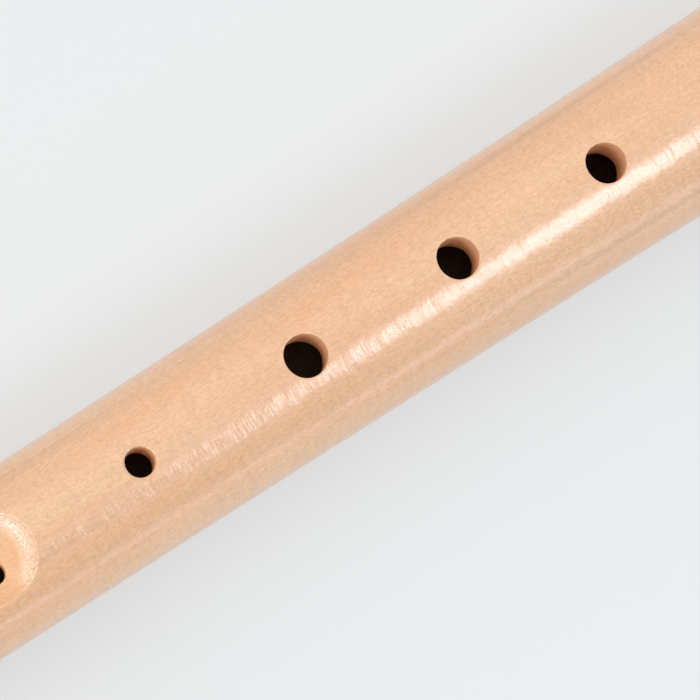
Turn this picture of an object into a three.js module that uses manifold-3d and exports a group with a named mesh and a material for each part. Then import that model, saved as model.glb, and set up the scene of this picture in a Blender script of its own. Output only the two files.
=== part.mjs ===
// Soprano recorder in three joints, lying on its two widest rings with the finger holes up.
// Millimetres, +Z up, +X towards the mouthpiece. The origin is the bottom centre of the whole
// recorder, so the bore's axis runs along X at AXIS_HEIGHT above the surface it lies on.
import * as THREE from "three";
import { mergeVertices } from "three/addons/utils/BufferGeometryUtils.js";
import Module from "manifold-3d";

// Driving dimensions
const TOTAL_LENGTH = 326;
const TIP_X = TOTAL_LENGTH / 2; // the beak's tip
const FOOT_END_X = -TOTAL_LENGTH / 2;
const HEAD_LINE_X = 38; // where the head joint meets the middle joint's upper shoulder
const FOOT_LINE_X = -117.5; // where the foot joint meets the middle joint's lower shoulder
const RING_RADIUS = 13.5; // the two widest rings, one on the head and one on the foot
const SIDES = 32; // facets round each turned piece: one faces straight up and one straight down
const HOLE_SIDES = 24; // facets round each finger hole
const GAP = 0.3; // between faces that touch
const FACET = Math.PI / SIDES;
const AXIS_HEIGHT = RING_RADIUS * Math.cos(FACET);

// Finger holes, by their places along the axis. A pair is two small holes side by side in a dish.
const HOLE_4_X = -62.5;
const HOLES = [
  { x: HOLE_4_X + 67.7, radius: 2.5 }, // 1, left index finger
  { x: HOLE_4_X + 45.3, radius: 2.6 }, // 2
  { x: HOLE_4_X + 22.6, radius: 2.65 }, // 3
  { x: HOLE_4_X, radius: 2.7 }, // 4, right index finger
  { x: HOLE_4_X - 23.8, radius: 1.82 }, // 5, small, as the German fingering has it
];
const THUMB_HOLE = { x: 13.5, radius: 2.6 };
const PAIR_6 = { x: HOLE_4_X - 45, pitch: 3.1, radius: 1.35, depth: 2.4 };
const PAIR_7 = { x: HOLE_4_X - 70, pitch: 2.9, radius: 1.2, depth: 2.1 };
const DISH_FLOOR_RADIUS = 3.4;
const DISH_CORNER_WIDTH = 2.4;
const DISH_CORNER_HEIGHT = 2;

// Middle joint: its outside is a gentle curve of radius against distance from hole 4
const BODY_RADIUS = 10.3;
const BODY_TAPER = 0.01185;
const BODY_FLARE = 5.4e-5;
const BORE_TOP_RADIUS = 6.3;
const BORE_BOTTOM_RADIUS = 5.2;

// Tenons, the cork laps in their grooves, and the sockets round them: rim is the length of the
// lip at each end of the groove, and the rest after length are radii
const UPPER_TENON = {
  length: 20,
  rim: 2.5,
  lip: 8.3,
  groove: 8,
  corkIn: 8.1,
  corkOut: 8.75,
  socket: 8.85,
};
const LOWER_TENON = {
  length: 10,
  rim: 1.6,
  lip: 7.15,
  groove: 6.85,
  corkIn: 6.95,
  corkOut: 7.6,
  socket: 7.7,
};
const CORK_END_GAP = 0.3;
const SOCKET_END_GAP = 0.5;

// Head joint: windway, window and labium
const BLOCK_LENGTH = 42;
const BLOCK_LINE_X = TIP_X - BLOCK_LENGTH; // the windway's exit
const WINDOW_LENGTH = 4;
const WINDOW_CUT_LOW = 3; // the window is cut down to this height above the axis, inside the bore
const LABIUM_X = BLOCK_LINE_X - WINDOW_LENGTH; // the lip's sharp edge
const RAMP_LENGTH = 16;
const WINDWAY_WIDTH = 11;
const WINDWAY_FLOOR = 6.0; // radii from the bore's axis: the windway is arched
const WINDWAY_ROOF = 7.15;
const HEAD_BORE_TOP = 6.75;
const HEAD_BORE_BOTTOM = 6.6;
const BLOCK_RADIUS = 6.62;
const LABIUM_RADIUS = 7.0;
const RAMP_TOP_RADIUS = 12.3;
const BEAK_CURVE_RADIUS = 67.6; // the hollow cut under the beak
const BEAK_CURVE_X = TIP_X + 3;
const BEAK_CURVE_TOP = 0.5; // its highest line above the bore's axis
const BEAK_CURVE_START_X = 124;

// Foot joint
const FOOT_BORE_TOP = 5.15;
const FOOT_BORE_BOTTOM = 4.9;
const FOOT_BORE_MOUTH = 5.6;
const FOOT_WALL_RADIUS = 10.5; // the outside at the seventh finger's pair

const REACH = 20; // farther from the axis than any surface

const wasm = await Module();
wasm.setup();

// Turns a closed outline of [x, radius] points about the bore's axis.
function turned(outline) {
  const points = [...outline, outline[0]].map(([x, radius]) => new THREE.Vector2(radius, x));
  const geometry = new THREE.LatheGeometry(points, SIDES, FACET, 2 * Math.PI);
  geometry.rotateZ(-Math.PI / 2);
  geometry.translate(0, 0, AXIS_HEIGHT);
  return solid(geometry);
}

// A closed geometry as a solid that can be cut and joined.
function solid(geometry) {
  const bare = geometry.clone();
  bare.deleteAttribute("normal");
  bare.deleteAttribute("uv");
  const merged = mergeVertices(bare, 1e-4);
  const vertProperties = merged.attributes.position.array;
  const triVerts = new Uint32Array(merged.index.array);
  return new wasm.Manifold(new wasm.Mesh({ numProp: 3, vertProperties, triVerts }));
}

// A box between two x values, across the axis by a width, from one height to another above the axis.
function slab(xLow, xHigh, width, low, high) {
  const geometry = new THREE.BoxGeometry(xHigh - xLow, width, high - low);
  geometry.translate((xLow + xHigh) / 2, 0, AXIS_HEIGHT + (low + high) / 2);
  return solid(geometry);
}

// A drill of one radius at (x, y), from the axis out through the wall: side is 1 for up, -1 for down.
function drill(x, y, radius, side) {
  const geometry = new THREE.CylinderGeometry(radius, radius, REACH, HOLE_SIDES);
  geometry.rotateX(Math.PI / 2);
  geometry.translate(x, y, AXIS_HEIGHT + (side * REACH) / 2);
  return solid(geometry);
}

// The round cutter that sinks a dish for a pair of small holes into a wall of the given radius.
function dishCutter(x, surfaceRadius, depth) {
  const floor = AXIS_HEIGHT + surfaceRadius - depth;
  const outline = [new THREE.Vector2(0, floor), new THREE.Vector2(DISH_FLOOR_RADIUS, floor)];
  const steps = 4;
  for (let step = 1; step <= steps; step += 1) {
    const angle = ((step / steps) * Math.PI) / 2;
    const radius = DISH_FLOOR_RADIUS + DISH_CORNER_WIDTH * Math.sin(angle);
    outline.push(new THREE.Vector2(radius, floor + DISH_CORNER_HEIGHT * (1 - Math.cos(angle))));
  }
  const rim = DISH_FLOOR_RADIUS + DISH_CORNER_WIDTH;
  outline.push(new THREE.Vector2(rim, floor + REACH));
  outline.push(new THREE.Vector2(0, floor + REACH));
  const geometry = new THREE.LatheGeometry(outline, HOLE_SIDES);
  geometry.rotateX(Math.PI / 2);
  geometry.translate(x, 0, 0);
  return solid(geometry);
}

// Cuts a dish with its two holes side by side.
function cutPair(piece, pair, surfaceRadius) {
  const left = drill(pair.x, pair.pitch / 2, pair.radius, 1);
  const right = drill(pair.x, -pair.pitch / 2, pair.radius, 1);
  return piece.subtract(dishCutter(pair.x, surfaceRadius, pair.depth)).subtract(left).subtract(right);
}

// A round moulding between two points of an outline: swell is its height, or its depth if negative.
function moulding(start, end, swell, steps) {
  const points = [];
  for (let step = 0; step <= steps; step += 1) {
    const angle = (step / steps) * Math.PI;
    const along = (1 - Math.cos(angle)) / 2;
    const x = start[0] + (end[0] - start[0]) * along;
    const radius = start[1] + (end[1] - start[1]) * along + swell * Math.sin(angle);
    points.push([x, radius]);
  }
  return points;
}

// The middle joint's outer radius at x.
function bodyRadius(x) {
  const along = x - HOLE_4_X;
  return BODY_RADIUS + BODY_TAPER * along + BODY_FLARE * along * along;
}

// A tenon's outline from its shoulder to its end: a lip, the cork's groove and the end lip.
function tenonOutline(shoulderX, direction, tenon) {
  const at = (distance) => shoulderX + direction * distance;
  return [
    [at(0), tenon.lip],
    [at(tenon.rim), tenon.lip],
    [at(tenon.rim), tenon.groove],
    [at(tenon.length - tenon.rim), tenon.groove],
    [at(tenon.length - tenon.rim), tenon.lip],
    [at(tenon.length), tenon.lip],
  ];
}

// Middle joint: a tapered tube with a tenon at each end, five plain finger holes, the thumb
// hole underneath and the sixth finger's pair of small holes in their dish.
function middleJoint() {
  const lowerEnd = FOOT_LINE_X - LOWER_TENON.length;
  const upperEnd = HEAD_LINE_X + UPPER_TENON.length;
  const skin = [];
  const steps = 6;
  for (let step = 0; step <= steps; step += 1) {
    const x = FOOT_LINE_X + ((HEAD_LINE_X - FOOT_LINE_X) * step) / steps;
    skin.push([x, bodyRadius(x)]);
  }
  let piece = turned([
    ...tenonOutline(FOOT_LINE_X, -1, LOWER_TENON).reverse(),
    ...skin,
    ...tenonOutline(HEAD_LINE_X, 1, UPPER_TENON),
    [upperEnd, BORE_TOP_RADIUS],
    [lowerEnd, BORE_BOTTOM_RADIUS],
  ]);
  HOLES.forEach((hole) => {
    piece = piece.subtract(drill(hole.x, 0, hole.radius, 1));
  });
  piece = piece.subtract(drill(THUMB_HOLE.x, 0, THUMB_HOLE.radius, -1));
  return cutPair(piece, PAIR_6, bodyRadius(PAIR_6.x));
}

// A cork lap: the sleeve in a tenon's groove that seals against the socket.
function corkLap(shoulderX, direction, tenon) {
  const near = shoulderX + direction * (tenon.rim + CORK_END_GAP);
  const far = shoulderX + direction * (tenon.length - tenon.rim - CORK_END_GAP);
  const low = Math.min(near, far);
  const high = Math.max(near, far);
  return turned([
    [low, tenon.corkIn],
    [low, tenon.corkOut],
    [high, tenon.corkOut],
    [high, tenon.corkIn],
  ]);
}

// The hollow cut that thins the beak from below, right across the head and the block.
function beakCutter() {
  const centreHeight = BEAK_CURVE_TOP - BEAK_CURVE_RADIUS;
  const start = Math.acos((BEAK_CURVE_START_X - BEAK_CURVE_X) / BEAK_CURVE_RADIUS);
  const shape = new THREE.Shape();
  shape.moveTo(BEAK_CURVE_X, centreHeight);
  shape.lineTo(BEAK_CURVE_X, BEAK_CURVE_TOP);
  shape.absarc(BEAK_CURVE_X, centreHeight, BEAK_CURVE_RADIUS, Math.PI / 2, start, false);
  shape.closePath();
  const width = 2 * REACH;
  const settings = { depth: width, bevelEnabled: false, curveSegments: 12 };
  const geometry = new THREE.ExtrudeGeometry(shape, settings);
  geometry.rotateX(Math.PI / 2);
  geometry.translate(0, width / 2, AXIS_HEIGHT);
  return solid(geometry);
}

// A stretch of a turned ring, kept only over the windway's width above the axis.
function archedCutter(outline) {
  const low = Math.min(...outline.map((point) => point[0]));
  const high = Math.max(...outline.map((point) => point[0]));
  return turned(outline).intersect(slab(low - 1, high + 1, WINDWAY_WIDTH, 0, REACH));
}

// The ring of space between two radii from one x to another.
function ring(xLow, xHigh, inner, outer) {
  return [
    [xLow, inner],
    [xLow, outer],
    [xHigh, outer],
    [xHigh, inner],
  ];
}

// Head joint: socket bulb with its rings, barrel, window with the labium's ramp, and the beak.
function headJoint() {
  const mouth = HEAD_LINE_X + GAP;
  const socketEnd = HEAD_LINE_X + UPPER_TENON.length + SOCKET_END_GAP;
  const above = (distance) => HEAD_LINE_X + distance;
  const fromTip = (distance) => TIP_X - distance;
  let piece = turned([
    [mouth, UPPER_TENON.socket],
    [mouth, 12.4],
    ...moulding([above(1), 12.5], [above(4.8), 12.5], RING_RADIUS - 12.5, 4),
    [above(5.2), 12.1],
    ...moulding([above(5.8), 12.5], [above(22), 12.1], 0.85, 6),
    [above(22.4), 11.8],
    ...moulding([above(22.8), 12], [above(25.6), 12], 0.9, 4),
    [above(26), 11.6],
    ...moulding([above(26.6), 11.9], [above(34), 11.3], -0.4, 4),
    [above(48), 11.7],
    [fromTip(62), 12.2],
    [BLOCK_LINE_X, 12.5],
    [fromTip(29), 12.4],
    [fromTip(15), 11.7],
    [fromTip(5), 10.7],
    [fromTip(1.6), 10],
    [fromTip(0.4), 9.2],
    [TIP_X, 8.5],
    [TIP_X, HEAD_BORE_TOP],
    [BLOCK_LINE_X, HEAD_BORE_TOP],
    [socketEnd, HEAD_BORE_BOTTOM],
    [socketEnd, UPPER_TENON.socket],
  ]);
  const windway = ring(BLOCK_LINE_X - 1, TIP_X + 1, WINDWAY_FLOOR - 1, WINDWAY_ROOF);
  const slope = (RAMP_TOP_RADIUS - LABIUM_RADIUS) / RAMP_LENGTH;
  const rampEnd = LABIUM_X - RAMP_LENGTH - 4;
  const ramp = [
    [LABIUM_X + 1, LABIUM_RADIUS - slope],
    [rampEnd, LABIUM_RADIUS + slope * (LABIUM_X - rampEnd)],
    [rampEnd, REACH],
    [LABIUM_X + 1, REACH],
  ];
  const window = slab(LABIUM_X, BLOCK_LINE_X, WINDWAY_WIDTH, WINDOW_CUT_LOW, REACH);
  piece = piece.subtract(archedCutter(windway));
  piece = piece.subtract(archedCutter(ramp));
  return piece.subtract(window).subtract(beakCutter());
}

// Block: the plug in the head's bore whose top is the windway's floor, flush with the beak's hollow.
function block() {
  const plug = turned([
    [BLOCK_LINE_X, 0],
    [BLOCK_LINE_X, BLOCK_RADIUS],
    [TIP_X - GAP, BLOCK_RADIUS],
    [TIP_X - GAP, 0],
  ]);
  const floor = archedCutter(ring(BLOCK_LINE_X - 1, TIP_X + 1, WINDWAY_FLOOR, BLOCK_RADIUS + 1));
  return plug.subtract(floor).subtract(beakCutter());
}

// Foot joint: socket bulb, the little finger's pair of holes in their dish, waist and bell.
function footJoint() {
  const top = FOOT_LINE_X - GAP;
  const socketEnd = FOOT_LINE_X - LOWER_TENON.length - SOCKET_END_GAP;
  const fromEnd = (distance) => FOOT_END_X + distance;
  const below = (distance) => FOOT_LINE_X - distance;
  const piece = turned([
    [FOOT_END_X, FOOT_BORE_MOUTH],
    [FOOT_END_X, 12.2],
    ...moulding([fromEnd(0.6), 12.6], [fromEnd(4.4), 12.6], RING_RADIUS - 12.6, 4),
    [fromEnd(4.8), 12.2],
    ...moulding([fromEnd(5.4), 12.4], [fromEnd(19), 10], -0.8, 5),
    [fromEnd(19.4), 9.7],
    ...moulding([fromEnd(20), 9.9], [fromEnd(22.4), 9.9], 0.8, 4),
    [fromEnd(22.8), 9.8],
    [fromEnd(23.4), 10.1],
    [PAIR_7.x, FOOT_WALL_RADIUS],
    [below(8.1), 11.3],
    [below(5.3), 11.9],
    [below(4.9), 11.6],
    ...moulding([below(4.5), 11.8], [below(1.3), 11.8], 1, 4),
    [below(0.9), 11.6],
    [top, 11.4],
    [top, LOWER_TENON.socket],
    [socketEnd, LOWER_TENON.socket],
    [socketEnd, FOOT_BORE_TOP],
    [fromEnd(1.5), FOOT_BORE_BOTTOM],
  ]);
  return cutPair(piece, PAIR_7, FOOT_WALL_RADIUS);
}

// Materials
const maple = new THREE.MeshStandardMaterial({ color: 0xe6bf97, roughness: 0.35, metalness: 0 });
const cedar = new THREE.MeshStandardMaterial({ color: 0xb5805c, roughness: 0.8, metalness: 0 });
const cork = new THREE.MeshStandardMaterial({ color: 0xc39a6c, roughness: 0.9, metalness: 0 });

// A named mesh from a finished solid.
function mesh(name, piece, material) {
  const { vertProperties, triVerts } = piece.getMesh();
  const geometry = new THREE.BufferGeometry();
  geometry.setAttribute("position", new THREE.BufferAttribute(vertProperties, 3));
  geometry.setIndex(new THREE.BufferAttribute(triVerts, 1));
  geometry.computeVertexNormals();
  const made = new THREE.Mesh(geometry, material);
  made.name = name;
  return made;
}

const recorder = new THREE.Group();
recorder.add(
  mesh("head_joint", headJoint(), maple),
  mesh("block", block(), cedar),
  mesh("upper_tenon_cork", corkLap(HEAD_LINE_X, 1, UPPER_TENON), cork),
  mesh("middle_joint", middleJoint(), maple),
  mesh("lower_tenon_cork", corkLap(FOOT_LINE_X, -1, LOWER_TENON), cork),
  mesh("foot_joint", footJoint(), maple),
);

export default recorder;
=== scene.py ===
import math

import bmesh
import bpy
import numpy as np
from mathutils import Matrix, Vector


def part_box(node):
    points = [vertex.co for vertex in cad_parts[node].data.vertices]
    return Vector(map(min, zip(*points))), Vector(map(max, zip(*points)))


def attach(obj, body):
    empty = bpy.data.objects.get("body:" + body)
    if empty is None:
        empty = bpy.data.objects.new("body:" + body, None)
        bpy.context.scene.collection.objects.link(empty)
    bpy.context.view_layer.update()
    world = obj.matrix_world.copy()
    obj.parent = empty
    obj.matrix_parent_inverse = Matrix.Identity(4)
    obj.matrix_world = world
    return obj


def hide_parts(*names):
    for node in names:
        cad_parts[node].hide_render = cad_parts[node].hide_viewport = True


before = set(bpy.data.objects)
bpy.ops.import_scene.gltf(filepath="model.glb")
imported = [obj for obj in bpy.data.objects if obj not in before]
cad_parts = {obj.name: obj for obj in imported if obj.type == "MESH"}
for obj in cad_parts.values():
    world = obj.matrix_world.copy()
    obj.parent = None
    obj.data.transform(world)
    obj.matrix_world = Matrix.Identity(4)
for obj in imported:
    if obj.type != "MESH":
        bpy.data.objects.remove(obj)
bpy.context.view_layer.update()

# A wooden soprano recorder lying on a pale floor. Every piece is a smooth mesh that stands for
# its faceted CAD solid. Lengths are in millimetres until a mesh is finished: x runs along the
# bore's axis towards the mouthpiece, and y and z are measured from the axis.
MM = 0.001
SECTORS = 160  # vertices round each turned ring

GAP = 0.3  # the CAD leaves this between faces that touch


def corners(node):
    """A CAD node's box, as its low corner and its high corner."""
    low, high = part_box(node)
    return low / MM, high / MM


# Places, read from the frame
head_low, head_high = corners("head_joint")
foot_low, foot_high = corners("foot_joint")
middle_low, middle_high = corners("middle_joint")
block_low, block_high = corners("block")
upper_cork_low, upper_cork_high = corners("upper_tenon_cork")
lower_cork_low, lower_cork_high = corners("lower_tenon_cork")
AXIS_HEIGHT = (head_low.z + head_high.z) / 2
RING_RADIUS = AXIS_HEIGHT  # the two widest rings just touch the floor
TIP_X = head_high.x
HEAD_LINE_X = head_low.x - GAP
FOOT_LINE_X = foot_high.x + GAP
FOOT_END_X = foot_low.x
BLOCK_LINE_X = block_low.x
UPPER_END_X = middle_high.x
LOWER_END_X = middle_low.x

# Holes, as their places along x and their radii
HOLE_4_X = FOOT_LINE_X + 55
HOLES = [(HOLE_4_X + 67.7, 2.5), (HOLE_4_X + 45.3, 2.6), (HOLE_4_X + 22.6, 2.65), (HOLE_4_X, 2.7)]
HOLE_5 = (HOLE_4_X - 23.8, 1.82)
THUMB_HOLE = (HOLE_4_X + 76, 2.6)
CRISP_RIM = (0.12, 0.12)  # width and drop of the rounded edge
SANDED_RIM = (0.5, 0.32)
PAIR_RIM = (0.22, 0.2)
HOLE_FLARE = 1.05  # the holes widen a little towards the bore
BORE_EDGE = 0.15  # the softened edge where a hole meets the bore

# The two dishes with their pairs of holes
PAIR_6_X = HOLE_4_X - 45
PAIR_6_SIZES = (3.1, 1.35, 2.4)  # the pair's pitch and radius, and the dish's depth
PAIR_7_X = HOLE_4_X - 70
PAIR_7_SIZES = (2.9, 1.2, 2.1)
DISH_FLOOR_RADIUS = 3.4
DISH_CORNER_WIDTH = 2.4
DISH_CORNER_HEIGHT = 2.0
DISH_EDGE = 0.3  # width of the softened edge at the outside

# Windows in the turned grid that the holes are set into: half their sectors, their rows, and
# how far they reach along x
HOLE_HALF = 17
HOLE_ROWS = 14
HOLE_REACH = 4.0
PAIR_HALF = 21
PAIR_ROWS = 24
PAIR_6_REACH = 7
PAIR_7_REACH = 6.6
PAIR_7_BORE_REACH = 3.8

# Tenons, as the length of the lip at each end, its radius and the groove's radius
UPPER_TENON = (2.5, 8.3, 8.0)
LOWER_TENON = (1.6, 7.15, 6.85)
UPPER_CORK_INNER = 8.1
LOWER_CORK_INNER = 6.95
HEAD_SOCKET = 8.85
FOOT_SOCKET = 7.7
SOCKET_END_GAP = 0.5

# Windway, window and labium
HEAD_BORE = 6.75
BLOCK_RADIUS = 6.62
WINDWAY_HALF_WIDTH = 5.5
WINDWAY_FLOOR = 6.0
WINDWAY_ROOF = 7.15
WINDWAY_CUT_LOW = 5.6
WINDOW_CUT_LOW = 3
LABIUM_X = BLOCK_LINE_X - 4
LABIUM_RADIUS = 6.95
RAMP_LENGTH = 16
RAMP_TOP_RADIUS = 12.3
CLEAR = 20  # how far out the cutters reach, well past the wood
PAST = 1  # how far they reach past a face

# The hollow under the beak is an arc whose centre lies below the axis
BEAK_CURVE_RADIUS = 67.6
BEAK_CURVE_X = TIP_X + 3
BEAK_CURVE_TOP = 0.5
BEAK_CURVE_REACH = 42  # from the centre back to where the hollow starts

# Finishes: the order of the material slots on each wooden piece
# The last finish, on the bore, is dark with oil and also carries painted shade.
LACQUERED, BARE, BORED, DISHED, OIL_AND_SHADE = range(5)


def body_radius(x):
    """The middle joint's outside, a gentle curve from foot to head."""
    along = x - HOLE_4_X
    return 10.3 + 0.01185 * along + 5.4e-5 * along**2


def body_bore(x):
    """The middle joint's bore, wider towards the head."""
    share = (x - LOWER_END_X) / (UPPER_END_X - LOWER_END_X)
    return 5.2 + 1.1 * share


def foot_radius(x):
    """The foot's outside between its waist ring and its socket ring."""
    share = np.clip((x - (FOOT_END_X + 23.4)) / 16.8, 0, 1)
    return 10.1 + 1.8 * share**1.7


def foot_bore(x):
    """The foot's bore, wider towards the middle joint."""
    return 4.9 + 0.25 * (x - FOOT_END_X) / (LOWER_END_X - FOOT_END_X)


# ---------------------------------------------------------------- mesh kit


def linked(name, data):
    """A new object in the scene."""
    made = bpy.data.objects.new(name, data)
    bpy.context.scene.collection.objects.link(made)
    return made


class Solid:
    """A piece while it is made: its points, faces and the finish of each face."""

    def __init__(self):
        self.points = []
        self.faces = []
        self.finishes = []

    def add(self, points):
        start = len(self.points)
        self.points.extend(tuple(float(c) for c in p) for p in points)
        return list(range(start, len(self.points)))

    def add_plan(self, plan, height, tilt):
        """Points over a plan of (x, y), turned by tilt about the axis."""
        y = plan[:, 1] * math.cos(tilt) + height * math.sin(tilt)
        z = height * math.cos(tilt) - plan[:, 1] * math.sin(tilt)
        return self.add(np.stack([plan[:, 0], y, z], 1))

    def plan(self, loop, tilt):
        """The plan of a loop of points, turned back by tilt."""
        points = np.array([self.points[i] for i in loop])
        y = points[:, 1] * math.cos(tilt) - points[:, 2] * math.sin(tilt)
        return np.stack([points[:, 0], y], 1)

    def bridge(self, first, second, finish):
        """Quads between two closed loops of equal length."""
        for i in range(len(first)):
            j = (i + 1) % len(first)
            self.faces.append((first[i], first[j], second[j], second[i]))
            self.finishes.append(finish)

    def bridge_all(self, loops, finish):
        for first, second in zip(loops, loops[1:]):
            self.bridge(first, second, finish)

    def close(self, first, last, finish):
        """Flat ends for a bridge from the first loop to the last one."""
        self.faces += [tuple(first), tuple(reversed(last))]
        self.finishes += [finish, finish]

    def rings(self, outline):
        """One ring of vertices for each (x, radius, finish) of an outline."""
        angles = np.arange(SECTORS) * 2 * math.pi / SECTORS
        rows = []
        for x, radius, _ in outline:
            y = radius * np.sin(angles)
            z = radius * np.cos(angles)
            rows.append(self.add(np.stack([np.full(SECTORS, x), y, z], 1)))
        return rows

    def weave(self, rows, outline, open_cells=()):
        """The quads of a closed outline's rings, apart from those in the open cells."""
        open_cells = set(open_cells)
        for r in range(len(rows)):
            following = (r + 1) % len(rows)
            finish = outline[r][2]
            for s in range(SECTORS):
                if (r, s) in open_cells:
                    continue
                t = (s + 1) % SECTORS
                self.faces.append((rows[r][s], rows[r][t], rows[following][t], rows[following][s]))
                self.finishes.append(finish)

    def build(self, name, materials):
        """The finished object, in metres in the shared frame."""
        mesh = bpy.data.meshes.new(name)
        placed = np.array(self.points) * MM
        placed[:, 2] += AXIS_HEIGHT * MM
        mesh.from_pydata(placed.tolist(), [], self.faces)
        for material in materials:
            mesh.materials.append(material)
        mesh.polygons.foreach_set("material_index", self.finishes)
        work = bmesh.new()
        work.from_mesh(mesh)
        bmesh.ops.recalc_face_normals(work, faces=work.faces)
        work.to_mesh(mesh)
        work.free()
        mesh.polygons.foreach_set("use_smooth", [True] * len(mesh.polygons))
        return linked(name, mesh)


def section(finish, points):
    """A run of an outline, from (x, radius) points, with one finish."""
    return [(x, radius, finish) for x, radius in points]


def rounded(outline, size, steps=3):
    """Rounds the corners of a closed outline that turn by more than 25 degrees."""
    made = []
    count = len(outline)
    for i, (x, radius, finish) in enumerate(outline):
        here = Vector((x, radius))
        before = Vector(outline[i - 1][:2])
        after = Vector(outline[(i + 1) % count][:2])
        into, out = here - before, after - here
        if into.length < 1e-6 or out.length < 1e-6 or into.angle(out) < math.radians(25):
            made.append((x, radius, finish))
            continue
        start = here - into.normalized() * min(size, 0.45 * into.length)
        end = here + out.normalized() * min(size, 0.45 * out.length)
        for step in range(steps + 1):
            t = step / steps
            p = start * (1 - t) ** 2 + here * (2 * t * (1 - t)) + end * t**2
            made.append((p.x, p.y, finish))
    return made


def moulding(start, end, swell, steps=12):
    """A round moulding between two points of an outline: swell is its height or its depth."""
    points = []
    for step in range(steps + 1):
        angle = math.pi * step / steps
        along = (1 - math.cos(angle)) / 2
        x = start[0] + (end[0] - start[0]) * along
        radius = start[1] + (end[1] - start[1]) * along + swell * math.sin(angle)
        points.append((x, radius))
    return points


def flowing(points, steps=8):
    """A smooth curve through a few points of an outline (Catmull-Rom)."""
    ends = [2 * np.array(points[0]) - points[1], 2 * np.array(points[-1]) - points[-2]]
    p = [ends[0], *map(np.array, points), ends[1]]
    made = []
    for i in range(1, len(p) - 2):
        for step in range(steps):
            t = step / steps
            a = 2 * p[i]
            b = p[i + 1] - p[i - 1]
            c = 2 * p[i - 1] - 5 * p[i] + 4 * p[i + 1] - p[i + 2]
            d = 3 * p[i] - p[i - 1] - 3 * p[i + 1] + p[i + 2]
            made.append(tuple((a + b * t + c * t**2 + d * t**3) / 2))
    return made + [tuple(points[-1])]


def stations(marks, radius_of, coarse=1.3):
    """Stations along x through marks of (x, rows to the next mark or None for coarse ones)."""
    made = []
    for (x, rows), (after, _) in zip(marks, marks[1:]):
        rows = rows or max(1, math.ceil(abs(after - x) / coarse))
        made += [x + (after - x) * k / rows for k in range(rows)]
    made.append(marks[-1][0])
    return [(x, float(radius_of(x))) for x in made]


def row_at(outline, x, finish):
    """The row of an outline at x, on the run with that finish."""
    fits = [i for i, row in enumerate(outline) if row[2] == finish and abs(row[0] - x) < 1e-6]
    return fits[0]


def walk(rows, high, low, centre):
    """The rows from a window's high-x end to its low-x end, and a way to find its vertices by
    row and by sectors from the centre."""
    step = 1 if low > high else -1
    down = list(range(high, low + step, step))

    def at(row, offset):
        return rows[row][(centre + offset) % SECTORS]

    return down, at


def window(rows, high, low, centre, half):
    """The loop round a window of the grid, from the middle of its high-x side towards +y, and
    the cells inside it. high and low are the rows of its two ends, centre its middle sector."""
    down, at = walk(rows, high, low, centre)
    loop = [at(high, k) for k in range(half)]
    loop += [at(row, half) for row in down[:-1]]
    loop += [at(low, half - k) for k in range(2 * half)]
    loop += [at(row, -half) for row in reversed(down[1:])]
    loop += [at(high, k - half) for k in range(half)]
    cells = [
        (row, (centre + k) % SECTORS)
        for row in range(min(high, low), max(high, low))
        for k in range(-half, half)
    ]
    return loop, cells


def window_halves(rows, high, low, centre, half):
    """The loops round the +y half and the -y half of a window, which share its middle line."""
    down, at = walk(rows, high, low, centre)
    up = down[::-1]
    plus = [at(high, k) for k in range(half)]
    plus += [at(row, half) for row in down[:-1]]
    plus += [at(low, half - k) for k in range(half)]
    plus += [at(row, 0) for row in up[:-1]]
    minus = [at(low, -k) for k in range(half)]
    minus += [at(row, -half) for row in up[:-1]]
    minus += [at(high, k - half) for k in range(half)]
    minus += [at(row, 0) for row in down[:-1]]
    return plus, minus


def over(radius_of):
    """The height of a turned surface above the axis, over points in plan."""
    return lambda plan: np.sqrt(radius_of(plan[:, 0]) ** 2 - plan[:, 1] ** 2)


def tunnel(solid, top, bottom, centre, radius, rim, above, under, finish, tilt=0.0):
    """A hole from one loop to another: in from the top loop to a rounded rim, down the wall,
    and out over a softened edge to the bottom loop."""
    centre = np.array(centre)
    top_plan = solid.plan(top, tilt)
    bottom_plan = solid.plan(bottom, tilt)
    aim = top_plan - centre
    aim = aim / np.linalg.norm(aim, axis=1)[:, None]
    turn = np.arctan2(aim[:, 1], aim[:, 0]) + centre[0]  # a different raggedness at each hole
    ragged = sum(np.sin(turn * n + n * n) / n**0.5 for n in (5, 9, 14, 23, 31))
    foot = (radius * HOLE_FLARE + 0.025 * ragged)[:, None]
    width, drop = rim

    def circle(r):
        return centre + aim * r

    def lay(plan, height):
        return solid.add_plan(plan, height, tilt)

    approach = [top]
    for share in (0.75, 0.52, 0.33, 0.18, 0.08, 0):
        plan = circle(radius + width) * (1 - share) + top_plan * share
        approach.append(lay(plan, above(plan)))
    for step in range(1, 7):
        angle = math.pi / 2 * step / 6
        plan = circle(radius + width * (1 - math.sin(angle)))
        approach.append(lay(plan, above(plan) - drop * (1 - math.cos(angle))))
    solid.bridge_all(approach, finish)

    wall = [approach[-1]]
    high = above(circle(radius)) - drop
    low = under(circle(foot)) + BORE_EDGE
    for share in (0.2, 0.4, 0.6, 0.8):
        plan = circle(radius + (foot - radius) * share**3)
        wall.append(lay(plan, high + (low - high) * share))
    for step in range(4):
        angle = math.pi / 2 * (1 - step / 3)
        plan = circle(foot + BORE_EDGE * (1 - math.sin(angle)))
        wall.append(lay(plan, under(plan) + BORE_EDGE * (1 - math.cos(angle))))
    for share in (0.3, 0.65):
        plan = circle(foot + BORE_EDGE) * (1 - share) + bottom_plan * share
        wall.append(lay(plan, under(plan)))
    wall.append(bottom)
    solid.bridge_all(wall, BORED)


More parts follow.
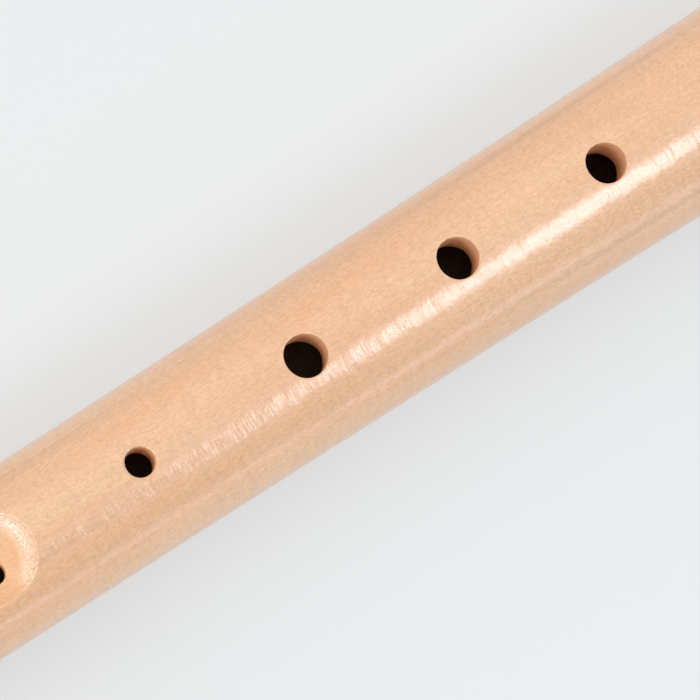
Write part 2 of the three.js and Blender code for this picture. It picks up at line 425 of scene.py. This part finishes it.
def dish(solid, top, bottoms, x, sizes, above, under):
    """A round dish sunk into the outside, with two small holes side by side in its floor."""
    pitch, radius, depth = sizes
    centre = np.array([x, 0.0])
    top_plan = solid.plan(top, 0)
    aim = top_plan - centre
    aim = aim / np.linalg.norm(aim, axis=1)[:, None]
    floor = float(above(centre[None, :])[0]) - depth
    rim_reach = DISH_FLOOR_RADIUS + DISH_CORNER_WIDTH

    def spot(reach):
        return centre + aim * np.asarray(reach).reshape(-1, 1)

    def cut(angle):
        """The cutter's corner at an angle up from the floor: its reach and its height."""
        reach = DISH_FLOOR_RADIUS + DISH_CORNER_WIDTH * np.sin(angle)
        straight = np.maximum(angle - math.pi / 2, 0) * DISH_CORNER_HEIGHT
        height = floor + DISH_CORNER_HEIGHT * (1 - np.cos(np.minimum(angle, math.pi / 2)))
        return np.where(angle > math.pi / 2, rim_reach, reach), height + straight

    # Where the corner meets the outside, found by halving
    low = np.zeros(len(top))
    high = np.full(len(top), math.pi / 2 + 3)
    for _ in range(40):
        middle = (low + high) / 2
        reach, height = cut(middle)
        inside = height < above(spot(reach))
        low = np.where(inside, middle, low)
        high = np.where(inside, high, middle)
    corner_reach, _ = cut(low)
    corner_height = above(spot(corner_reach))
    start_reach = corner_reach + DISH_EDGE
    start_height = above(spot(start_reach))
    inner = np.maximum(low - DISH_EDGE / DISH_CORNER_HEIGHT, 0.1)
    end_reach, end_height = cut(inner)

    outside = [top]
    for share in (0.7, 0.45, 0.25, 0.1, 0):
        plan = spot(start_reach) * (1 - share) + top_plan * share
        outside.append(solid.add_plan(plan, above(plan), 0))
    for step in range(1, 5):
        t = step / 4
        parts = ((1 - t) ** 2, 2 * t * (1 - t), t**2)
        reach = parts[0] * start_reach + parts[1] * corner_reach + parts[2] * end_reach
        height = parts[0] * start_height + parts[1] * corner_height + parts[2] * end_height
        outside.append(solid.add_plan(spot(reach), height, 0))
    crest = 7  # the loop half way over the softened edge, where the finish changes
    solid.bridge_all(outside[: crest + 1], LACQUERED)
    inside = outside[crest:]
    turns = 10
    for step in range(1, turns + 1):
        reach, height = cut(inner * (1 - step / turns))
        inside.append(solid.add_plan(spot(reach), height, 0))
    rim = inside[-1]
    solid.bridge_all(inside, DISHED)

    # A line across the floor parts it into a half for each hole
    half = len(top) // 2
    rows = len(bottoms[0]) - half
    across = np.linspace(DISH_FLOOR_RADIUS, -DISH_FLOOR_RADIUS, rows + 1)[1:-1]
    line = np.stack([x + across, np.zeros(len(across))], 1)
    middle = solid.add_plan(line, np.full(len(line), floor), 0)
    plus = rim[: half + 1] + middle[::-1]
    minus = rim[half:] + [rim[0]] + middle

    def flat(plan):
        return np.full(len(plan), floor)

    for side, loop, bottom in ((1, plus, bottoms[0]), (-1, minus, bottoms[1])):
        hole = (x, side * pitch / 2)
        tunnel(solid, loop, bottom, hole, radius, PAIR_RIM, flat, under, DISHED)


def apply_modifiers(piece):
    """Replaces a piece's mesh by what its modifiers make of it."""
    bpy.context.view_layer.update()
    evaluated = piece.evaluated_get(bpy.context.evaluated_depsgraph_get())
    mesh = bpy.data.meshes.new_from_object(evaluated)
    piece.modifiers.clear()
    piece.data = mesh
    return mesh


def cut_away(body, cutter):
    """Subtracts a cutter from the body with an exact boolean, then removes it."""
    modifier = body.modifiers.new("cut", "BOOLEAN")
    modifier.operation = "DIFFERENCE"
    modifier.solver = "EXACT"
    modifier.object = cutter
    apply_modifiers(body)
    bpy.data.objects.remove(cutter)


def softened(piece, width):
    """Small rounded edges where cuts meet, and smooth shading elsewhere."""
    modifier = piece.modifiers.new("edge", "BEVEL")
    modifier.width = width * MM
    modifier.segments = 2
    modifier.limit_method = "ANGLE"
    modifier.angle_limit = math.radians(32)
    modifier.use_clamp_overlap = True
    modifier.harden_normals = False
    mesh = apply_modifiers(piece)
    mesh.polygons.foreach_set("use_smooth", [True] * len(mesh.polygons))
    mesh.set_sharp_from_angle(angle=math.radians(40))
    return piece


# ---------------------------------------------------------------- materials


class Nodes:
    """A short way to write the nodes of a material or of the world."""

    def __init__(self, owner, shader="Principled BSDF", coordinates="Object"):
        owner.use_nodes = True
        self.owner = owner
        self.tree = owner.node_tree
        self.shader = self.tree.nodes[shader]
        self.place = self.tree.nodes.new("ShaderNodeTexCoord").outputs[coordinates]

    def node(self, kind, inputs=(), **settings):
        made = self.tree.nodes.new(kind)
        for key, value in settings.items():
            setattr(made, key, value)
        for key, value in dict(inputs).items():
            self.put(made.inputs[key], value)
        return made

    def put(self, socket, value):
        if isinstance(value, bpy.types.NodeSocket):
            self.tree.links.new(value, socket)
        else:
            socket.default_value = value

    def scaled(self, scale):
        return self.node("ShaderNodeMapping", {"Vector": self.place, "Scale": scale}).outputs[0]

    def noise(self, scale, detail, roughness=0.5):
        """Noise with so many features a metre along x, y and z."""
        made = self.node("ShaderNodeTexNoise", {"Vector": self.scaled(scale), "Scale": 1.0})
        self.put(made.inputs["Detail"], detail)
        self.put(made.inputs["Roughness"], roughness)
        return made.outputs["Fac"]

    def maths(self, operation, *values):
        return self.node("ShaderNodeMath", dict(enumerate(values)), operation=operation).outputs[0]

    def between(self, value, low, high, to_low=0.0, to_high=1.0, kind="SMOOTHSTEP"):
        """Maps low..high of a value to to_low..to_high, and keeps it within those ends."""
        made = self.node("ShaderNodeMapRange", {"Value": value}, interpolation_type=kind)
        self.put(made.inputs["From Min"], low)
        self.put(made.inputs["From Max"], high)
        self.put(made.inputs["To Min"], to_low)
        self.put(made.inputs["To Max"], to_high)
        return made.outputs[0]

    def blend(self, share, first, second):
        """Goes from the first colour to the second as the share goes from 0 to 1."""
        made = self.node("ShaderNodeMix", data_type="RGBA")
        self.put(made.inputs[0], share)
        self.put(made.inputs[6], first)
        self.put(made.inputs[7], second)
        return made.outputs[2]

    def bump(self, height, distance, strength, normal=None):
        """A normal from a height, laid over another normal if there is one."""
        inputs = {"Height": height, "Distance": distance, "Strength": strength}
        if normal is not None:
            inputs["Normal"] = normal
        return self.node("ShaderNodeBump", inputs).outputs[0]

    def finish(self, **sockets):
        """Sets the shader's sockets, with _ for each space in their names."""
        for key, value in sockets.items():
            self.put(self.shader.inputs[key.replace("_", " ")], value)
        return self.owner


def material_nodes(name):
    return Nodes(bpy.data.materials.new(name))


def maple_colour(nodes, pale, deep, streak):
    """Plain maple: broad soft bands, long grain lines, fine fibres, short dark flecks and
    turning marks. It gives the fibres too, for a bump."""
    bands = nodes.noise((14, 130, 130), 3.0, 0.6)
    colour = nodes.blend(nodes.between(bands, 0.3, 0.7), pale, deep)
    lines = nodes.noise((9, 420, 420), 3.0, 0.6)
    colour = nodes.blend(nodes.between(lines, 0.52, 0.75, 0.0, 0.36), colour, streak)
    fibres = nodes.noise((1300, 4200, 4200), 3.0, 0.8)
    colour = nodes.blend(nodes.between(fibres, 0.35, 0.7, 0.0, 0.5), colour, streak)
    flecks = nodes.noise((2000, 5500, 5500), 1.0)
    colour = nodes.blend(nodes.between(flecks, 0.6, 0.7, 0.0, 0.3), colour, streak)
    marks = nodes.noise((1500, 180, 180), 2.0)
    colour = nodes.blend(nodes.between(marks, 0.4, 0.7, 0.0, 0.12), colour, streak)
    return colour, fibres


def lacquered_maple():
    """The outside: wood under a satin coat that shows the turning in its shine."""
    nodes = material_nodes("lacquered_maple")
    colour, _ = maple_colour(
        nodes, (0.81, 0.50, 0.30, 1), (0.76, 0.42, 0.23, 1), (0.5, 0.25, 0.12, 1)
    )
    turning = nodes.noise((2300, 300, 300), 3.0, 0.6)
    waves = nodes.noise((420, 260, 260), 2.0)
    grit = nodes.noise((2600, 3000, 3000), 2.0, 0.6)
    normal = nodes.bump(grit, 0.000012, 1.0)
    normal = nodes.bump(turning, 0.00003, 1.0, normal)
    normal = nodes.bump(waves, 0.0001, 1.0, normal)
    return nodes.finish(
        Base_Color=colour,
        Roughness=0.5,
        Specular_IOR_Level=0.25,
        Normal=normal,
        Coat_Weight=1.0,
        Coat_Roughness=0.2,
        Coat_IOR=1.62,
        Coat_Normal=normal,
    )


def bare_maple():
    """Tenons and sockets."""
    nodes = material_nodes("bare_maple")
    colour, fibres = maple_colour(
        nodes, (0.72, 0.5, 0.32, 1), (0.64, 0.42, 0.25, 1), (0.48, 0.28, 0.15, 1)
    )
    turning = nodes.noise((3500, 120, 120), 3.0, 0.6)
    normal = nodes.bump(turning, 0.00008, 0.5, nodes.bump(fibres, 0.00003, 0.4))
    return nodes.finish(Base_Color=colour, Roughness=0.6, Normal=normal)


def bored_maple():
    """The walls of the holes and of the windway."""
    nodes = material_nodes("bored_maple")
    colour, fibres = maple_colour(
        nodes, (0.85, 0.47, 0.25, 1), (0.8, 0.42, 0.21, 1), (0.6, 0.28, 0.12, 1)
    )
    return nodes.finish(Base_Color=colour, Roughness=0.55, Normal=nodes.bump(fibres, 0.00004, 0.4))


def oil_and_shade_bore():
    """The bore, dark with oil, and painted darker still to stand for the shade inside the tube."""
    nodes = material_nodes("oil_and_shade_bore")
    colour, fibres = maple_colour(
        nodes, (0.22, 0.12, 0.065, 1), (0.18, 0.095, 0.05, 1), (0.1, 0.05, 0.025, 1)
    )
    return nodes.finish(Base_Color=colour, Roughness=0.5, Normal=nodes.bump(fibres, 0.00004, 0.4))


def dished_maple(name, centre_x):
    """A dish cut by a turning cutter: fine rings round its middle, and pale raised fibres where
    its wall cuts the end grain, painted paler than the wood so that they also stand for a painted
    highlight."""
    nodes = material_nodes(name)
    colour, _ = maple_colour(
        nodes, (0.85, 0.47, 0.22, 1), (0.8, 0.4, 0.17, 1), (0.55, 0.27, 0.1, 1)
    )
    apart = nodes.node("ShaderNodeSeparateXYZ", {"Vector": nodes.place})
    along = nodes.maths("SUBTRACT", apart.outputs["X"], centre_x * MM)
    across = apart.outputs["Y"]
    along_squared = nodes.maths("MULTIPLY", along, along)
    across_squared = nodes.maths("MULTIPLY", across, across)
    reach = nodes.maths("SQRT", nodes.maths("ADD", along_squared, across_squared))

    # Pale speckles on the end-grain walls: raised fibres, and a painted highlight in a colour paler
    # than the wood.
    fuzz = nodes.noise((3200, 3200, 3200), 2.0, 0.6)
    on_wall = nodes.between(reach, 0.0034, 0.0052)
    fibres_and_glint = nodes.maths("MULTIPLY", on_wall, nodes.between(fuzz, 0.38, 0.56, 0.35, 1.0))
    end_grain = nodes.maths("DIVIDE", nodes.maths("ABSOLUTE", along), reach)
    fibres_and_glint = nodes.maths("MULTIPLY", fibres_and_glint, nodes.between(end_grain, 0.2, 0.65, 0.1, 1.0))
    colour = nodes.blend(fibres_and_glint, colour, (0.95, 0.7, 0.51, 1))

    ring_spacing = 0.00034
    rings = nodes.maths("SINE", nodes.maths("MULTIPLY", reach, 2 * math.pi / ring_spacing))
    chatter = nodes.noise((1900, 1900, 1900), 3.0, 0.6)
    towards_rim = nodes.between(reach, 0.0025, 0.0045, 0.1, 1.0)
    ridges = nodes.maths("MULTIPLY", nodes.between(chatter, 0.4, 0.6), towards_rim)
    height = nodes.maths("MULTIPLY", rings, ridges)
    normal = nodes.bump(height, 0.00002, 1.0, nodes.bump(chatter, 0.00018, 1.0))
    return nodes.finish(
        Base_Color=colour,
        Roughness=0.4,
        Normal=normal,
        Coat_Weight=1.0,
        Coat_Roughness=0.12,
        Coat_IOR=1.75,
        Coat_Normal=normal,
    )


def cork():
    """Pressed cork: grains of two browns with dark pits."""
    nodes = material_nodes("cork")
    scaled = nodes.scaled((900, 900, 900))
    cells = nodes.node("ShaderNodeTexVoronoi", {"Vector": scaled, "Scale": 1.0})
    shade = nodes.between(cells.outputs["Color"], 0.2, 0.8)
    grain = nodes.blend(shade, (0.56, 0.33, 0.17, 1), (0.72, 0.47, 0.27, 1))
    pits = nodes.noise((1400, 2600, 2600), 3.0, 0.6)
    dark = nodes.between(pits, 0.6, 0.68)
    colour = nodes.blend(dark, grain, (0.16, 0.08, 0.04, 1))
    normal = nodes.bump(nodes.maths("SUBTRACT", 1.0, dark), 0.0002, 0.7)
    return nodes.finish(Base_Color=colour, Roughness=0.75, Normal=normal)


def cedar():
    """The block, unfinished."""
    nodes = material_nodes("cedar")
    colour, fibres = maple_colour(
        nodes, (0.42, 0.2, 0.11, 1), (0.34, 0.145, 0.075, 1), (0.2, 0.08, 0.04, 1)
    )
    return nodes.finish(Base_Color=colour, Roughness=0.7, Normal=nodes.bump(fibres, 0.00008, 0.6))


lacquer_material = lacquered_maple()
bare_material = bare_maple()
bored_material = bored_maple()
bore_material = oil_and_shade_bore()
cork_material = cork()
cedar_material = cedar()


def wood_slots(dish_material=None):
    """The materials of a wooden piece, in the order of the finishes."""
    dish_finish = dish_material or lacquer_material
    return [lacquer_material, bare_material, bored_material, dish_finish, bore_material]


# ---------------------------------------------------------------- pieces


def tenon(shoulder_x, end_x, rim, lip, groove):
    """A tenon's outside from its shoulder to its end."""
    side = 1 if end_x > shoulder_x else -1
    return [
        (shoulder_x, lip),
        (shoulder_x + side * rim, lip),
        (shoulder_x + side * rim, groove),
        (end_x - side * rim, groove),
        (end_x - side * rim, lip),
        (end_x, lip),
    ]


def marks_round(holes, low, high):
    """Marks for stations() from low to high, with fine rows across each (x, reach, rows)."""
    marks = [(low, None)]
    for x, reach, rows in sorted(holes):
        marks += [(x - reach, rows), (x + reach, None)]
    return marks + [(high, None)]


def middle_joint():
    """The tube with its finger holes, thumb hole, dish and tenons."""
    solid = Solid()
    plain = [*HOLES, HOLE_5, THUMB_HOLE]
    windows = [(x, HOLE_REACH, HOLE_ROWS) for x, _ in plain]
    windows.append((PAIR_6_X, PAIR_6_REACH, PAIR_ROWS))
    marks = marks_round(windows, FOOT_LINE_X, HEAD_LINE_X)
    skin = section(LACQUERED, stations(marks, body_radius))
    bore_marks = [(LOWER_END_X, None)] + marks[1:-1] + [(UPPER_END_X, None)]
    bore = section(OIL_AND_SHADE, stations(bore_marks, body_bore)[::-1])
    outline = rounded(
        section(BARE, tenon(FOOT_LINE_X, LOWER_END_X, *LOWER_TENON)[::-1])
        + skin
        + section(BARE, tenon(HEAD_LINE_X, UPPER_END_X, *UPPER_TENON))
        + bore,
        0.3,
    )
    rows = solid.rings(outline)
    above, under = over(body_radius), over(body_bore)
    opened = []

    def loops(x, reach, centre, half):
        """Opens a window in the outside and in the bore, and gives the loops round them."""
        found = []
        for finish in (LACQUERED, OIL_AND_SHADE):
            high = row_at(outline, x + reach, finish)
            low = row_at(outline, x - reach, finish)
            loop, cells = window(rows, high, low, centre, half)
            opened.extend(cells)
            found.append(loop)
        return found

    for x, radius in plain:
        under_side = x == THUMB_HOLE[0]
        top, bottom = loops(x, HOLE_REACH, SECTORS // 2 if under_side else 0, HOLE_HALF)
        rim = SANDED_RIM if x == HOLE_5[0] else CRISP_RIM
        tilt = math.pi if under_side else 0.0
        tunnel(solid, top, bottom, (x, 0), radius, rim, above, under, LACQUERED, tilt)
    top, _ = loops(PAIR_6_X, PAIR_6_REACH, 0, PAIR_HALF)
    high = row_at(outline, PAIR_6_X + PAIR_6_REACH, OIL_AND_SHADE)
    low = row_at(outline, PAIR_6_X - PAIR_6_REACH, OIL_AND_SHADE)
    bottoms = window_halves(rows, high, low, 0, PAIR_HALF)
    dish(solid, top, bottoms, PAIR_6_X, PAIR_6_SIZES, above, under)
    solid.weave(rows, outline, opened)
    return solid.build("middle_joint_wood", wood_slots(dished_maple("dished_maple_6", PAIR_6_X)))


def foot_joint():
    """The foot: bell, waist, dish with its pair of holes, and socket bulb."""
    solid = Solid()
    top_x = foot_high.x
    socket_x = LOWER_END_X - SOCKET_END_GAP

    def up(distance):
        return FOOT_END_X + distance

    def down(distance):
        return FOOT_LINE_X - distance

    wall_marks = marks_round([(PAIR_7_X, PAIR_7_REACH, PAIR_ROWS)], up(23.4), down(5.3))
    bore_marks = marks_round([(PAIR_7_X, PAIR_7_BORE_REACH, PAIR_ROWS)], up(1.5), socket_x)
    skin = [
        (up(0), 5.6),
        (up(0), 12.2),
        *moulding((up(0.6), 12.6), (up(4.4), 12.6), RING_RADIUS - 12.6),
        (up(4.8), 12.2),
        *moulding((up(5.4), 12.4), (up(19), 10), -0.8, 20),
        (up(19.4), 9.7),
        *moulding((up(20), 9.9), (up(22.4), 9.9), 0.8),
        (up(22.8), 9.8),
        *stations(wall_marks, foot_radius),
        (down(4.9), 11.6),
        *moulding((down(4.5), 11.8), (down(1.3), 11.8), 1),
        (down(0.9), 11.6),
        (top_x, 11.4),
    ]
    outline = rounded(
        section(LACQUERED, skin)
        + section(BARE, [(top_x, FOOT_SOCKET), (socket_x, FOOT_SOCKET)])
        + section(OIL_AND_SHADE, stations(bore_marks, foot_bore)[::-1]),
        0.25,
    )
    rows = solid.rings(outline)
    high = row_at(outline, PAIR_7_X + PAIR_7_REACH, LACQUERED)
    low = row_at(outline, PAIR_7_X - PAIR_7_REACH, LACQUERED)
    top, opened = window(rows, high, low, 0, PAIR_HALF)
    high = row_at(outline, PAIR_7_X + PAIR_7_BORE_REACH, OIL_AND_SHADE)
    low = row_at(outline, PAIR_7_X - PAIR_7_BORE_REACH, OIL_AND_SHADE)
    _, more = window(rows, high, low, 0, PAIR_HALF)
    bottoms = window_halves(rows, high, low, 0, PAIR_HALF)
    dish(solid, top, bottoms, PAIR_7_X, PAIR_7_SIZES, over(foot_radius), over(foot_bore))
    solid.weave(rows, outline, opened + more)
    return solid.build("foot_joint_wood", wood_slots(dished_maple("dished_maple_7", PAIR_7_X)))


def ring_piece(name, outline, materials):
    """A plain turned piece."""
    solid = Solid()
    rows = solid.rings(outline)
    solid.weave(rows, outline)
    return solid.build(name, materials)


def cork_lap(name, low, high, inner):
    """A cork sleeve between the corners of its box."""
    radius = (high.z - low.z) / 2
    outline = [(low.x, inner), (low.x, radius), (high.x, radius), (high.x, inner)]
    return ring_piece(name, rounded(section(0, outline), 0.25), [cork_material])


def cutter(name, loops, finish, materials):
    """A closed solid through loops of points."""
    solid = Solid()
    rows = [solid.add(points) for points in loops]
    solid.bridge_all(rows, finish)
    solid.close(rows[0], rows[-1], finish)
    return solid.build(name, materials)


def prism(name, outline, half_width, finish, materials):
    """A cutter with an outline of (x, z) points, reaching half_width to each side."""
    loops = [[(x, y, z) for x, z in outline] for y in (half_width, -half_width)]
    return cutter(name, loops, finish, materials)


def arched(name, outline, finish, materials):
    """A cutter with an outline of (x, radius) points, swept in an arch over the windway's width."""
    steps = 24
    loops = []
    for step in range(steps + 1):
        y = WINDWAY_HALF_WIDTH * (2 * step / steps - 1)
        loops.append([(x, y, math.sqrt(radius**2 - y**2)) for x, radius in outline])
    return cutter(name, loops, finish, materials)


def beak_cutter(materials):
    """The hollow under the beak."""
    low = BEAK_CURVE_TOP - BEAK_CURVE_RADIUS
    first = math.acos(-BEAK_CURVE_REACH / BEAK_CURVE_RADIUS)
    points = [(BEAK_CURVE_X, low)]
    steps = 48
    for step in range(steps + 1):
        angle = math.pi / 2 + (first - math.pi / 2) * step / steps
        x = BEAK_CURVE_X + BEAK_CURVE_RADIUS * math.cos(angle)
        points.append((x, low + BEAK_CURVE_RADIUS * math.sin(angle)))
    return prism("beak", points, CLEAR, LACQUERED, materials)


def head_joint():
    """The head: socket bulb, barrel, window with its labium, windway and beak."""
    mouth = head_low.x
    socket_x = UPPER_END_X + SOCKET_END_GAP

    def up(distance):
        return HEAD_LINE_X + distance

    def back(distance):
        return TIP_X - distance

    barrel = flowing(
        [
            (up(34), 11.3),
            (up(48), 11.7),
            (back(62), 12.2),
            (BLOCK_LINE_X, 12.5),
            (back(29), 12.4),
            (back(15), 11.7),
            (back(5), 10.7),
            (back(1.6), 10),
            (back(0.4), 9.2),
            (TIP_X, 8.5),
        ]
    )
    skin = [
        (mouth, HEAD_SOCKET),
        (mouth, 12.4),
        *moulding((up(1), 12.5), (up(4.8), 12.5), RING_RADIUS - 12.5),
        (up(5.2), 12.1),
        *moulding((up(5.8), 12.5), (up(22), 12.1), 0.85, 20),
        (up(22.4), 11.8),
        *moulding((up(22.8), 12), (up(25.6), 12), 0.9),
        (up(26), 11.6),
        *moulding((up(26.6), 11.9), (up(34), 11.3), -0.4)[:-1],
        *barrel,
    ]
    outline = rounded(
        section(LACQUERED, skin)
        + section(OIL_AND_SHADE, [(TIP_X, HEAD_BORE), (BLOCK_LINE_X, HEAD_BORE), (socket_x, 6.6)])
        + section(BARE, [(socket_x, HEAD_SOCKET)]),
        0.25,
    )
    slots = wood_slots()
    head = ring_piece("head_joint_wood", outline, slots)

    slope = (RAMP_TOP_RADIUS - LABIUM_RADIUS) / RAMP_LENGTH
    ramp_end = LABIUM_X - RAMP_LENGTH - 4
    ramp = [
        (LABIUM_X + PAST, LABIUM_RADIUS - slope),
        (ramp_end, LABIUM_RADIUS + slope * (LABIUM_X - ramp_end)),
        (ramp_end, CLEAR),
        (LABIUM_X + PAST, CLEAR),
    ]
    windway = [
        (BLOCK_LINE_X - PAST, WINDWAY_CUT_LOW),
        (TIP_X + PAST, WINDWAY_CUT_LOW),
        (TIP_X + PAST, WINDWAY_ROOF),
        (BLOCK_LINE_X - PAST, WINDWAY_ROOF),
    ]
    opening = [
        (LABIUM_X, WINDOW_CUT_LOW),
        (BLOCK_LINE_X, WINDOW_CUT_LOW),
        (BLOCK_LINE_X, CLEAR),
        (LABIUM_X, CLEAR),
    ]
    cut_away(head, arched("windway", windway, BORED, slots))
    cut_away(head, arched("ramp", ramp, LACQUERED, slots))
    cut_away(head, prism("opening", opening, WINDWAY_HALF_WIDTH, LACQUERED, slots))
    cut_away(head, beak_cutter(slots))
    return softened(head, 0.2)


def block():
    """The plug in the beak, with the windway's arched floor along its top."""
    solid = Solid()
    ends = solid.rings(section(0, [(BLOCK_LINE_X, BLOCK_RADIUS), (block_high.x, BLOCK_RADIUS)]))
    solid.bridge_all(ends, 0)
    solid.close(*ends, 0)
    plug = solid.build("block_wood", [cedar_material])
    floor = [
        (BLOCK_LINE_X - PAST, WINDWAY_FLOOR),
        (TIP_X + PAST, WINDWAY_FLOOR),
        (TIP_X + PAST, BLOCK_RADIUS + PAST),
        (BLOCK_LINE_X - PAST, BLOCK_RADIUS + PAST),
    ]
    cut_away(plug, arched("floor", floor, 0, [cedar_material]))
    cut_away(plug, beak_cutter([cedar_material]))
    return softened(plug, 0.15)


def place(piece, body, node):
    """Ties a piece to its body and hides the CAD node that it stands for."""
    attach(piece, body)
    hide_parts(node)


place(middle_joint(), "middle", "middle_joint")
place(foot_joint(), "foot", "foot_joint")
place(head_joint(), "head", "head_joint")
place(block(), "block", "block")
upper_lap = cork_lap("upper_cork_lap", upper_cork_low, upper_cork_high, UPPER_CORK_INNER)
place(upper_lap, "upper_cork", "upper_tenon_cork")
lower_lap = cork_lap("lower_cork_lap", lower_cork_low, lower_cork_high, LOWER_CORK_INNER)
place(lower_lap, "lower_cork", "lower_tenon_cork")


# ---------------------------------------------------------------- stage, lights and camera


FLOOR_HALF = 4.0  # metres


def floor():
    """A pale floor that gives off a little light, which keeps the recorder's shadow soft."""
    nodes = material_nodes("floor_paint")
    material = nodes.finish(
        Base_Color=(0.32, 0.325, 0.33, 1),
        Roughness=0.9,
        Specular_IOR_Level=0.0,
        Emission_Color=(0.96, 0.975, 0.975, 1),
        Emission_Strength=0.475,
    )
    mesh = bpy.data.meshes.new("floor")
    signs = ((-1, -1), (1, -1), (1, 1), (-1, 1))
    points = [(x * FLOOR_HALF, y * FLOOR_HALF, 0) for x, y in signs]
    mesh.from_pydata(points, [], [(0, 1, 2, 3)])
    mesh.materials.append(material)
    made = linked("floor", mesh)


TARGET = Vector((HOLE_4_X, 0, AXIS_HEIGHT)) * MM


def orient(made, right, up, back):
    """Turns a lamp or the camera, which both look away from back."""
    made.rotation_mode = "QUATERNION"
    made.rotation_quaternion = Matrix((right, up, back)).transposed().to_quaternion()


def softbox(name, direction, distance, size, power, tint):
    """An area light that faces the fourth hole from a direction."""
    data = bpy.data.lights.new(name, "AREA")
    data.shape = "RECTANGLE"
    data.size, data.size_y = size
    data.energy = power
    data.color = tint
    lamp = linked(name, data)
    lamp.visible_camera = False
    back = Vector(direction).normalized()
    lamp.location = TARGET + back * distance
    across = Vector((1, 0, 0)) - back * back.x
    across.normalize()
    orient(lamp, across, back.cross(across), back)


def surroundings():
    """A pale studio: brighter overhead, cool and dim on the -y side, warm and bright on the +y
    side, and with a low bright strip on the -y side that the lacquer mirrors."""
    world = bpy.data.worlds.new("studio")
    bpy.context.scene.world = world
    nodes = Nodes(world, "Background", "Generated")
    apart = nodes.node("ShaderNodeSeparateXYZ", {"Vector": nodes.place})
    y, z = apart.outputs["Y"], apart.outputs["Z"]
    height = nodes.between(z, 0.0, 1.0, 0.52, 1.16, "LINEAR")
    side = nodes.between(y, -1.0, 1.0, 0.5, 1.5, "LINEAR")
    towards_warm = nodes.between(y, -1.0, 1.0, 0.0, 1.0, "LINEAR")
    tint = nodes.blend(towards_warm, (0.83, 0.98, 1.11, 1), (1.07, 0.985, 0.89, 1))
    strip = nodes.maths("MULTIPLY", nodes.between(z, 0.15, 0.0), nodes.between(y, -0.5, -0.85))
    plain = nodes.maths("MULTIPLY", height, side)
    nodes.finish(Color=tint, Strength=nodes.maths("MULTIPLY_ADD", strip, 3.2, plain))


CAMERA_TILT = 0.2776  # towards the foot
CAMERA_LEAN = 0.0903  # towards -y
CAMERA_ROLL = 0.5714
CAMERA_DISTANCE = 0.3714
CAMERA_AIM = Vector((0.00781, -0.00137, 0))  # from the axis at the fourth hole
CAMERA_LENS = 155.3


def camera():
    """The photograph's view, close over the middle joint."""
    back = Vector(
        (
            -math.sin(CAMERA_TILT),
            -math.sin(CAMERA_LEAN) * math.cos(CAMERA_TILT),
            math.cos(CAMERA_LEAN) * math.cos(CAMERA_TILT),
        )
    )
    level = (Vector((1, 0, 0)) - back * back.x).normalized()
    upright = back.cross(level)
    right = level * math.cos(CAMERA_ROLL) - upright * math.sin(CAMERA_ROLL)
    up = level * math.sin(CAMERA_ROLL) + upright * math.cos(CAMERA_ROLL)
    data = bpy.data.cameras.new("camera")
    data.lens = CAMERA_LENS
    data.sensor_width = 36
    data.clip_start = 0.01
    data.clip_end = 20
    made = linked("camera", data)
    made.location = TARGET + CAMERA_AIM + back * CAMERA_DISTANCE
    orient(made, right, up, back)
    bpy.context.scene.camera = made


floor()
surroundings()
softbox("key", (0.36, -0.48, 0.8), 0.9, (0.2, 0.29), 1.85, (0.95, 1.0, 1.08))
softbox("foot_side", (-0.91, -0.2, 0.37), 0.9, (0.16, 0.9), 3.0, (0.98, 1.0, 1.02))
camera()
bpy.context.scene.view_settings.view_transform = "Standard"
